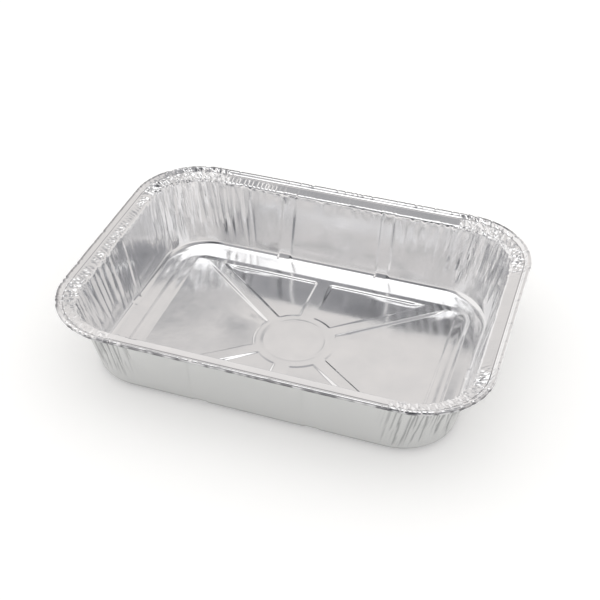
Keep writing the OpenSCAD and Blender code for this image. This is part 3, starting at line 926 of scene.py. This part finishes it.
def foil_material():
    """Metal: bright and a little cloudy inside, duller outside, and darker where painted shade is
    marked on the mesh.
    """
    mat = bpy.data.materials.new("foil")
    mat.use_nodes = True
    kit = Nodes(mat.node_tree)
    shader = kit.nodes["Principled BSDF"]
    shader.inputs["Metallic"].default_value = 1.0
    coords = kit.new("ShaderNodeTexCoord")

    def noise(scale, detail, stretch=(1, 1, 1)):
        turn = kit.new("ShaderNodeMapping")
        turn.inputs["Scale"].default_value = stretch
        kit.links.new(coords.outputs["Object"], turn.inputs["Vector"])
        tex = kit.new("ShaderNodeTexNoise")
        tex.inputs["Scale"].default_value = scale
        tex.inputs["Detail"].default_value = detail
        kit.links.new(turn.outputs["Vector"], tex.inputs["Vector"])
        return tex.outputs["Fac"]

    def bump(height, depth):
        node = kit.new("ShaderNodeBump")
        node.inputs["Strength"].default_value = BUMP_STRENGTH
        node.inputs["Distance"].default_value = depth
        kit.links.new(height, node.inputs["Height"])
        return node

    inside = kit.attribute("inside")
    clouds = kit.map_range(noise(*CLOUDS), NOISE_LOW, NOISE_HIGH, 0, 1)
    bright = kit.mix("RGBA", clouds, BRIGHT_LOW, BRIGHT_HIGH)
    colour = kit.mix("RGBA", inside, OUTSIDE, bright)
    # painted shade: darkens the rolled edge, the groove's crease, the hollows of the corner folds
    # and the outside of the wall's foot
    colour = kit.mix("RGBA", kit.attribute("roll"), colour, PAINTED_SHADE)
    kit.put(colour, shader.inputs["Base Color"])
    smears = kit.map_range(noise(*SMEARS), NOISE_LOW, NOISE_HIGH, *INSIDE_ROUGH)
    kit.put(kit.mix("FLOAT", inside, OUTSIDE_ROUGH, smears), shader.inputs["Roughness"])

    # Fine rolling lines of the sheet along its length, and small crumples
    lines = bump(noise(*ROLLING), ROLLING_DEPTH)
    crumple = bump(noise(*CRUMPLES), CRUMPLE_DEPTH)
    kit.links.new(lines.outputs["Normal"], crumple.inputs["Normal"])
    kit.links.new(crumple.outputs["Normal"], shader.inputs["Normal"])
    return mat


def table_material():
    """Matt and near white, with a glow that only camera, mirror and glass rays see."""
    mat = bpy.data.materials.new("table")
    mat.use_nodes = True
    kit = Nodes(mat.node_tree)
    kit.nodes.clear()
    out = kit.new("ShaderNodeOutputMaterial")
    body = kit.new("ShaderNodeBsdfDiffuse")
    body.inputs["Color"].default_value = TABLE_COLOUR
    glow = kit.new("ShaderNodeEmission")
    glow.inputs["Color"].default_value = (1, 1, 1, 1)
    path = kit.new("ShaderNodeLightPath").outputs
    seen = kit.math("MAXIMUM", path["Is Camera Ray"], path["Is Glossy Ray"])
    seen = kit.math("MAXIMUM", seen, path["Is Transmission Ray"])
    kit.put(kit.math("MULTIPLY", seen, TABLE_GLOW), glow.inputs["Strength"])
    both = kit.new("ShaderNodeAddShader")
    kit.links.new(body.outputs[0], both.inputs[0])
    kit.links.new(glow.outputs[0], both.inputs[1])
    kit.links.new(both.outputs[0], out.inputs["Surface"])
    return mat


def make_table():
    plate = bpy.data.meshes.new("table")
    corners = [(x * TABLE_HALF, y * TABLE_HALF, 0) for x, y in ((-1, -1), (1, -1), (1, 1), (-1, 1))]
    plate.from_pydata(corners, [], [(0, 1, 2, 3)])
    plate.materials.append(table_material())
    table = bpy.data.objects.new("table", plate)
    table.location.z = TABLE_Z
    bpy.context.scene.collection.objects.link(table)


# The studio that the foil mirrors, by the direction's x, y and z. Each step: from, to,
# level before and level after.
IS_BEHIND = (-0.35, 0.05, 0.0, 1.0)
FAR_WALL, FAR_WALL_TOP = (0.1, 0.6, 0.86, 0.76), (0.68, 0.88, 0.0, 0.36)
FAR_CEILING, NEAR_CEILING = (0.90, 0.95, 0.0, 1.4), (0.88, 0.92, 0.0, 1.4)
OPENING, BELOW_OPENING = (0.30, 0.52, 0.0, 1.0), 0.92
OPENING_LEFT, OPENING_RIGHT = (-0.30, 0.0, 0.42, 0.10), (0.1, 0.5, 0.0, 0.28)
GAP_BOTTOM, GAP_TOP = (0.56, 0.585, 0.0, 1.0), (0.618, 0.631, 1.0, 0.0)
GAP_SIDE, GAP_SLANT, GAP_DIMMING = (-0.01, 0.055, 1.0, 0.0), 0.42, 0.50
LEFT_PANEL = (-0.52, -0.42, 1.0, 0.0)
# Tint of the light by its level: cool where dim, a little warm in the middle greys
TINT_SCALE = 0.66
TINTS = ((0.1, (0.93, 0.94, 1, 1)), (0.3, (0.97, 0.96, 0.98, 1)), (0.5, (1, 0.965, 0.945, 1)),
         (1.0, (1, 1, 1, 1)))


def studio_level(kit):
    """Brightness of the studio in the direction of the ray."""
    axes = kit.new("ShaderNodeSeparateXYZ")
    kit.links.new(kit.new("ShaderNodeTexCoord").outputs["Generated"], axes.inputs[0])
    x, y, z = (axes.outputs[k] for k in range(3))

    def soft(value, limits):
        return kit.map_range(value, *limits, kind="SMOOTHSTEP")

    def product(*values):
        out = values[0]
        for value in values[1:]:
            out = kit.math("MULTIPLY", out, value)
        return out

    # a grey far wall below a bright ceiling
    far_wall = kit.math("SUBTRACT", soft(z, FAR_WALL), soft(z, FAR_WALL_TOP))
    far = kit.math("MAXIMUM", far_wall, soft(z, FAR_CEILING))
    # a dim opening towards the camera
    open_share = soft(z, OPENING)
    opening = kit.math("ADD", soft(x, OPENING_LEFT), soft(x, OPENING_RIGHT))
    below = product(kit.math("SUBTRACT", 1.0, open_share), BELOW_OPENING)
    near = kit.math("ADD", product(open_share, opening), below)
    near = kit.math("MAXIMUM", near, soft(z, NEAR_CEILING))
    behind = soft(y, IS_BEHIND)
    level = kit.math("ADD", product(far, behind),
                     product(near, kit.math("SUBTRACT", 1.0, behind)))
    # a dim gap in the far wall, to the left
    beside = kit.math("ADD", x, product(y, GAP_SLANT))
    gap = product(soft(z, GAP_BOTTOM), soft(z, GAP_TOP), soft(beside, GAP_SIDE), behind)
    dim = kit.math("SUBTRACT", 1.0, product(gap, GAP_DIMMING))
    # a bright panel far to the left
    return kit.math("MAXIMUM", product(dim, level), soft(x, LEFT_PANEL))


def make_world():
    """Plain white for the camera and the matt table; only the foil sees the studio."""
    world = bpy.data.worlds.new("studio")
    bpy.context.scene.world = world
    world.use_nodes = True
    kit = Nodes(world.node_tree)
    kit.nodes.clear()
    out = kit.new("ShaderNodeOutputWorld")
    level = studio_level(kit)
    ramp = kit.new("ShaderNodeValToRGB")
    elements = ramp.color_ramp.elements
    for at, colour in TINTS[1:-1]:
        elements.new(at)
    for element, (at, colour) in zip(elements, TINTS):
        element.position, element.color = at, colour
    kit.links.new(kit.math("MULTIPLY", level, TINT_SCALE), ramp.inputs["Fac"])
    studio = kit.new("ShaderNodeBackground")
    kit.links.new(ramp.outputs["Color"], studio.inputs["Color"])
    kit.links.new(level, studio.inputs["Strength"])
    plain = kit.new("ShaderNodeBackground")
    plain.inputs["Color"].default_value = (1, 1, 1, 1)
    plain.inputs["Strength"].default_value = 1.0
    path = kit.new("ShaderNodeLightPath").outputs
    sees_plain = kit.math("MAXIMUM", path["Is Camera Ray"], path["Is Diffuse Ray"])
    mix = kit.new("ShaderNodeMixShader")
    kit.links.new(sees_plain, mix.inputs[0])
    kit.links.new(studio.outputs[0], mix.inputs[1])
    kit.links.new(plain.outputs[0], mix.inputs[2])
    kit.links.new(mix.outputs[0], out.inputs["Surface"])


# The camera: its angles in degrees, and the focal length, size and centre of its
# picture in pixels
AZIMUTH, ELEVATION, DISTANCE = 19.84, 35.42, 1.0354
AIM = (-0.06944, 0.08896, 0)
FOCAL_PX, PICTURE_PX, CENTRE_PX = 1221.65, 600, (251.33, 258.0)
SENSOR = 36.0


def make_camera():
    azimuth, elevation = math.radians(AZIMUTH), math.radians(ELEVATION)
    back = Vector((math.sin(azimuth) * math.cos(elevation),
                   -math.cos(azimuth) * math.cos(elevation), math.sin(elevation)))
    right = Vector((math.cos(azimuth), math.sin(azimuth), 0))
    up = back.cross(right)
    data = bpy.data.cameras.new("camera")
    data.sensor_width = SENSOR
    data.lens = FOCAL_PX / PICTURE_PX * SENSOR
    data.shift_x = (PICTURE_PX / 2 - CENTRE_PX[0]) / PICTURE_PX
    data.shift_y = (CENTRE_PX[1] - PICTURE_PX / 2) / PICTURE_PX
    camera = bpy.data.objects.new("camera", data)
    turn = Matrix((right, up, back)).transposed().to_4x4()
    camera.matrix_world = Matrix.Translation(Vector(AIM) + back * DISTANCE) @ turn
    bpy.context.scene.collection.objects.link(camera)
    bpy.context.scene.camera = camera


make_pan()
make_table()
make_world()
make_camera()
bpy.context.scene.view_settings.view_transform = "Standard"
